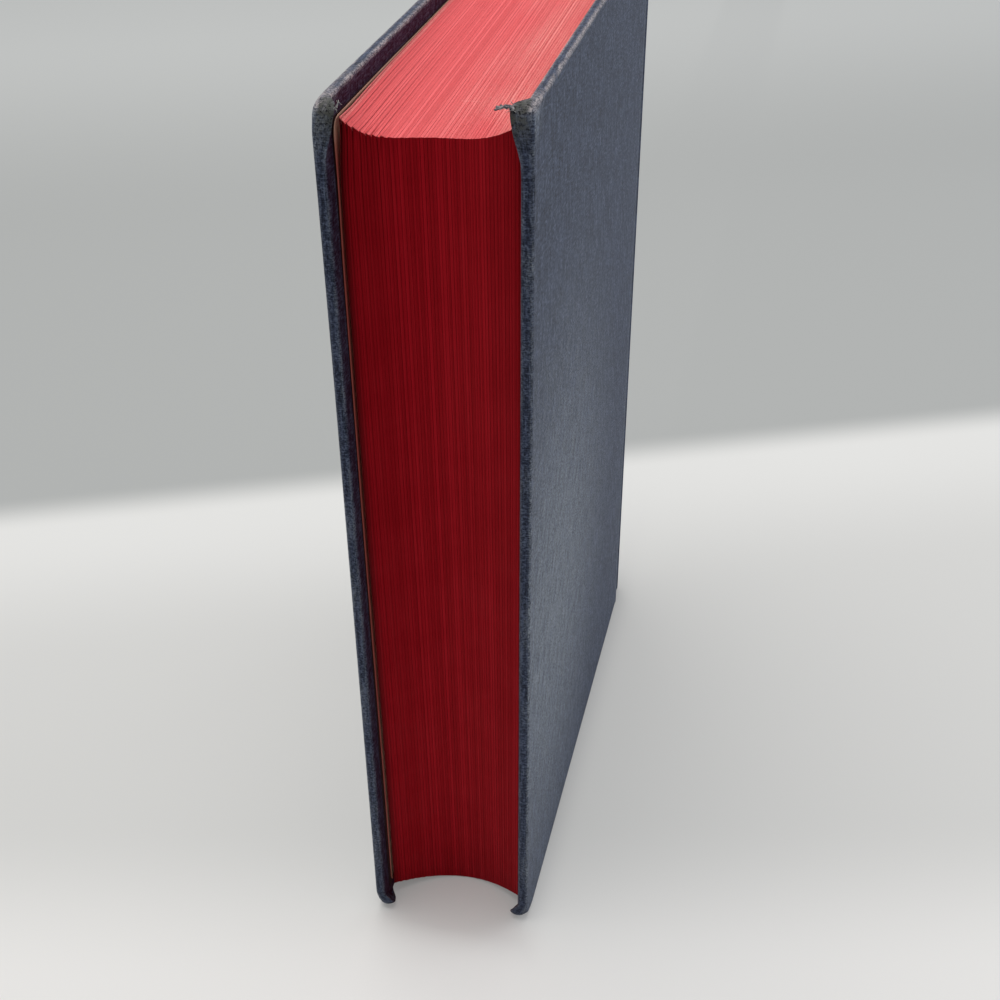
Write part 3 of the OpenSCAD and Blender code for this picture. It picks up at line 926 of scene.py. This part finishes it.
def makeTornEar():
    # a torn lip of cloth that stands in from the back cover's head corner, with worn holes
    look = frayLook["ear"]
    columns, rows = 22, 9
    root = coverIn - coverLook["headKnob"]["swell"] + 0.9

    def shape(u, w):
        ragged = 1 + 0.16 * grain(u * 9, w * 5, 4, 1.1)
        taper = 1 - 0.45 * u + 0.25 * smooth((u - 0.75) / 0.2)
        x = root - look["reach"] * u * ragged
        v = 0.75 + look["depth"] * taper * (w - 0.25) + 0.25 * math.sin(4 * u)
        z = height - 0.55 + 0.35 * math.sin(3.3 * u + 0.4) + 0.25 * grain(u * 6, w * 4, 9, 1.0) - 0.5 * w * w * (1 - u)
        return placeCover(1, x, v, z), (u * look["reach"], w * look["depth"])

    bm = gridSheet(columns, rows, shape, lambda c: Vector((0, 0, 1)))
    holes = [(0.24, 0.6, 0.11, 0.2), (0.52, 0.68, 0.08, 0.17), (0.7, 0.85, 0.06, 0.2)]
    spots = {}
    for face in bm.faces:
        us = [loop[bm.loops.layers.uv["threads"]].uv for loop in face.loops]
        spots[face] = (sum(q.x for q in us) / len(us) / look["reach"], sum(q.y for q in us) / len(us) / look["depth"])
    torn = [
        f for f, (u, w) in spots.items()
        if any(((u - hu) / ru) ** 2 + ((w - hw) / rw) ** 2 < 1 for hu, hw, ru, rw in holes)
    ]
    bmesh.ops.delete(bm, geom=torn, context="FACES")
    wearAndPaintedLight, bare, fadedAndHighlit = (bm.verts.layers.float.new(n) for n in ("wearAndPaintedLight", "bare", "fadedAndHighlit"))
    for vert in bm.verts:
        vert[wearAndPaintedLight] = 0.8
        vert[bare] = 0.25
        vert[fadedAndHighlit] = 1.0
    piece = addWall(addPiece(bm, "torn_cloth_ear", bookCloth, 70), look["wall"])
    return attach(piece, "back_cover")


for side in (-1, 1):
    makeLooseThreads(side)
makeTornEar()


# Joints: the cloth that bends between a cover and the spine, and the paper behind it

jointLook = {"rows": 60, "from": 157.5, "to": 152.0, "paper": 0.3}


def jointBlend(piece, side):
    # the two ends are named from the cover at the front but not used; the strip's place is baked into its mesh
    ends = [("pages_and_spine", jointLook["from"]), (sideName(side) + "_cover", jointLook["to"])]
    if side < 0:
        ends.reverse()
    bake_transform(piece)


def makeStrip(side, name, line, material, z0, z1, thickness, outward):
    points = rounded(line, 2)
    lengths = lineLengths(points)
    count = len(points) - 1

    def shape(u, w):
        i = round(u * count)
        x, v = points[i]
        z = z0 + (z1 - z0) * w
        return placeCover(side, x, v, z), (line[0][1] + lengths[i], z)

    facing = Vector((side * outward, 0, 0))
    bm = gridSheet(count, jointLook["rows"], shape, lambda c: facing)
    stainAndShade = bm.verts.layers.float.new("stainAndShade")
    for vert in bm.verts:
        fromEnd = min(vert.co.z * 1000 - z0, z1 - vert.co.z * 1000)
        vert[stainAndShade] = 0.5 * clamp(1 - fromEnd / 3)
    piece = addWall(addPiece(bm, name, material, 60), thickness)
    jointBlend(piece, side)
    return piece


grooveDepths = [152.9, 153.6, 154.4, 155.2, 156.0, 156.8, 157.5]
clothLine = [(halfT, coverLook["seam"]), (halfT, 150.3), (halfT - 0.05, 151.3), (halfT - 0.9, 151.75), (20.1, 152.0)]
clothLine += [(noseHalf - case["shoulder"] + flare(v - case["square"]), v) for v in grooveDepths]
clothLine += [(noseHalf - 0.03, 158.0), (noseHalf, 158.5)]
paperLine = [(paperIn - 0.02, 150.4), (paperIn - 0.05, 151.4), (paperIn - 0.12, 152.2)]
paperLine += [(blockHalf + case["paper"] + 0.06 + flare(v - case["square"]), v) for v in grooveDepths + [158.1]]

print("Joints: cloth and endpaper across both grooves")
for side in (-1, 1):
    makeStrip(side, sideName(side) + "_joint_cloth", clothLine, bookCloth, 0.0, height, case["cloth"], 1)
    makeStrip(
        side, sideName(side) + "_hinge_paper", paperLine, endpaper,
        case["square"], case["square"] + leafHeight, jointLook["paper"], -1,
    )


# Spine

spineLook = {"lip": 0.7, "rows": 48, "columns": 72, "narrowing": 0.16, "worn": 0.7, "wornReach": 1.6}


def makeSpine():
    look = spineLook
    # outline of the back, from the end of one groove to the other
    ends = math.degrees(arcAngle) - 5
    arc = [math.radians(-ends + 2 * ends * i / look["columns"]) for i in range(look["columns"] + 1)]
    half = [(noseHalf, 158.5), (noseHalf - 0.02, 159.0)]
    line = [(-x, v) for x, v in half] + [(arcRadius * math.sin(w), arcV + arcRadius * math.cos(w)) for w in arc]
    line += [(x, v) for x, v in reversed(half)]
    points = rounded(line, 1)
    lengths = lineLengths(points)
    count = len(points) - 1
    # path over the card: up the inside, over the lip and down the outside
    lip, reach = look["lip"], case["turnIn"]
    over = [(2 * lip, height - reach + reach * i / 4) for i in range(4)]
    over += [(lip + lip * math.cos(math.pi * i / 8), height - lip + lip * math.sin(math.pi * i / 8)) for i in range(9)]
    down = [(0.0, height - lip - (height - 2 * lip) * i / look["rows"]) for i in range(1, look["rows"])]
    under = [(deep, height - z) for deep, z in reversed(over)]
    path = over + down + under
    run = lineLengths(path)
    rows = len(path) - 1

    def shape(u, w):
        i, j = round(u * count), round(w * rows)
        x, v = points[i]
        deep, z = path[j]
        # the fold inside keeps clear of the shoulders
        toMiddle = Vector((-x, arcV - v)).normalized()
        narrow = 1 - look["narrowing"] * clamp(deep / (2 * lip))
        x = x * narrow + toMiddle.x * deep
        v = v + toMiddle.y * deep
        return place(x, v, z), (lengths[i], run[j])

    def facing(centre):
        return Vector((centre.x, centre.y - place(0, arcV, 0).y, 0))

    bm = gridSheet(count, rows, shape, facing)
    wearAndPaintedLight = bm.verts.layers.float.new("wearAndPaintedLight")
    for vert in bm.verts:
        z = vert.co.z * 1000
        patches = 0.8 + 0.8 * grain(vert.co.x * 1000, vert.co.y * 1000, z, 4)
        vert[wearAndPaintedLight] = clamp(look["worn"] * fade(min(z, height - z), look["wornReach"]) * patches)
    piece = addWall(addPiece(bm, "spine_back_cloth", bookCloth, 50), case["cloth"])
    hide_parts("spine_cloth")
    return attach(piece, "pages_and_spine")


print("Spine: cloth, gauze and bands")
makeSpine()


gauzeLook = {"inset": 12.0, "columns": 48, "rows": 24, "gap": 0.05}


def makeGauzeSheet():
    look = gauzeLook
    low, high = look["inset"], leafHeight - look["inset"]

    def shape(u, w):
        s = -1 + 2 * u
        x, v, z = leafSpot(s, leafDepth + case["gauze"], low + (high - low) * w)
        return place(x, v, z), (s * blockHalf, z)

    bm = gridSheet(look["columns"], look["rows"], shape, lambda c: Vector((0, 1, 0)))
    piece = addWall(addPiece(bm, "gauze_over_folds", gauze, 60), case["gauze"] - look["gap"])
    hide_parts("mull")
    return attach(piece, "pages_and_spine")


makeGauzeSheet()

bandLook = {"height": 1.8, "thickness": 2.2, "turn": 0.9, "rib": 0.07}


def makeBandBead(up):
    look = bandLook
    half = look["thickness"] / 2
    base = leafHeight + 0.1 if up > 0 else -0.1

    def shape(u, w):
        s = -0.985 + 1.97 * u
        angle = math.pi * w
        rib = look["rib"] * math.cos(2 * math.pi * s * blockHalf / look["turn"])
        a = leafDepth - half + (half + rib - 0.07) * math.cos(angle)
        b = base + up * (look["height"] + rib - 0.07) * math.sin(angle)
        x, v, z = leafSpot(s, a, b)
        return place(x, v, z), (s * blockHalf, angle * half)

    bm = gridSheet(240, 10, shape, lambda c: Vector((0, 0, up)))
    piece = addPiece(bm, "head_band_bead" if up > 0 else "tail_band_bead", bandCotton, 60)
    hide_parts("head_band" if up > 0 else "tail_band")
    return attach(piece, "pages_and_spine")


for up in (1, -1):
    makeBandBead(up)

# CAD nodes that stay in view
for name, material in (
    ("spine_lining", kraft),
    ("spine_inlay", greyboard),
    ("front_pastedown", pasted[-1]),
    ("back_pastedown", pasted[1]),
):
    mesh = nodes[name].data
    mesh.materials.clear()
    mesh.materials.append(material)


# Floor, lights and camera

floorLook = {
    # the tones are painted light and shade: lighter at the front and in a band, darker far off, lighter again farthest
    "front": "#ebeae8",
    "near": "#d6d6d4",
    "band": "#e3e3e1",
    "far": "#b0b2b1",
    "farthest": "#c7c9c8",
    "shadowed": 0.56,  # share of the real light and shadow in what the camera sees of the paper
    "foldLeft": (-0.180, 0.081),
    "foldRight": (0.114, 0.208),
    "frontLean": -0.245,
    "frontEdge": (-0.045, -0.108),  # metres over which one tone turns into the next, as are the next five
    "bandEdge": (-0.09, -0.005),
    "foldEdge": (-0.003, 0.022),
    "farEdge": (0.3, 0.68),
    "underAcross": (0.014, 0.030),
    "underAhead": (-0.078, -0.100),
    "underLight": 0.5,
    "radius": 4.0,
    "level": -0.0003,
}


def makeFloor():
    look = floorLook
    material, tree, shader = startMaterial("matte_paper_floor", 0.85, 0.2)
    x, y, _ = axesOf(tree, objectPlace(tree))
    # distance behind the line where the painted shade of the far part begins
    (x0, y0), (x1, y1) = look["foldLeft"], look["foldRight"]
    length = math.hypot(x1 - x0, y1 - y0)
    nx, ny = -(y1 - y0) / length, (x1 - x0) / length
    far = math2(tree, "SUBTRACT", weighted(tree, (x, nx), (y, ny)), nx * x0 + ny * y0)
    nearer = weighted(tree, (y, 1), (x, look["frontLean"]))
    tone = mixColour(tree, ramp(tree, nearer, *look["frontEdge"]), look["near"], look["front"])
    tone = mixColour(tree, ramp(tree, far, *look["bandEdge"]), tone, look["band"])
    behind = mixColour(tree, ramp(tree, far, *look["farEdge"]), look["far"], look["farthest"])
    tone = mixColour(tree, ramp(tree, far, *look["foldEdge"]), tone, behind)
    tree.links.new(tone, shader.inputs["Base Color"])
    glow = addNode(tree, "Emission", {"Color": tone, "Strength": 1.0}).outputs[0]
    # more of the real shadow shows under the book
    across = ramp(tree, math2(tree, "ABSOLUTE", x), *look["underAcross"])
    ahead = ramp(tree, y, *look["underAhead"])
    uncovered = math2(tree, "MAXIMUM", math2(tree, "MAXIMUM", across, ahead), look["underLight"])
    lightened = times(tree, uncovered, 1 - look["shadowed"])
    seen = times(tree, addNode(tree, "LightPath").outputs["Is Camera Ray"], lightened)
    both = addNode(tree, "MixShader", {0: seen, 1: shader.outputs[0], 2: glow}).outputs[0]
    tree.links.new(both, tree.nodes["Material Output"].inputs["Surface"])
    bm = bmesh.new()
    bmesh.ops.create_circle(bm, cap_ends=True, radius=look["radius"], segments=96)
    bmesh.ops.translate(bm, vec=(0, 0, look["level"]), verts=bm.verts)
    mesh = bpy.data.meshes.new("paper_floor")
    bm.to_mesh(mesh)
    bm.free()
    mesh.materials.append(material)
    floor = addObject("paper_floor", mesh)


def aim(obj, target):
    obj.rotation_euler = (Vector(target) - obj.location).to_track_quat("-Z", "Y").to_euler()


def addLamp(name, spot, target, size, power, tint):
    data = bpy.data.lights.new(name, "AREA")
    data.shape = "SQUARE"
    data.size = size
    data.energy = power
    data.color = colour(tint)[:3]
    lamp = addObject(name, data)
    lamp.location = spot
    aim(lamp, target)


cameraLook = {
    "spot": (0.0788, -0.3422, 0.3331),
    "turn": 13.80,  # degrees, as are the next two
    "tilt": 34.68,
    "roll": -0.42399,
    "sensor": 36,
    "focal": 1.4088,  # times the sensor's width
}


def makeCamera():
    look = cameraLook
    data = bpy.data.cameras.new("photo_camera")
    data.sensor_width = look["sensor"]
    data.lens = look["focal"] * look["sensor"]
    data.clip_start, data.clip_end = 0.01, 20
    camera = addObject("photo_camera", data)
    stand = Matrix.Translation(Vector(look["spot"]))
    for angle, axis in ((look["turn"], "Z"), (90 - look["tilt"], "X"), (look["roll"], "Z")):
        stand = stand @ Matrix.Rotation(math.radians(angle), 4, axis)
    camera.matrix_world = stand
    bpy.context.scene.camera = camera


print("Stage: floor, lights and camera")
makeFloor()
addLamp("window_above", (-0.25, 0.15, 1.35), (0, 0, 0.12), 1.3, 16, "#fffdfa")
addLamp("side_fill", (1.2, 0.75, 0.6), (0, 0, 0.12), 0.9, 6.5, "#f4f7ff")
makeCamera()

world = bpy.data.worlds.new("studio_air")
bpy.context.scene.world = world
world.use_nodes = True
background = world.node_tree.nodes["Background"]
background.inputs["Color"].default_value = colour("#e9ebee")
background.inputs["Strength"].default_value = 0.36
bpy.context.scene.view_settings.view_transform = "Standard"

print("Book: done")
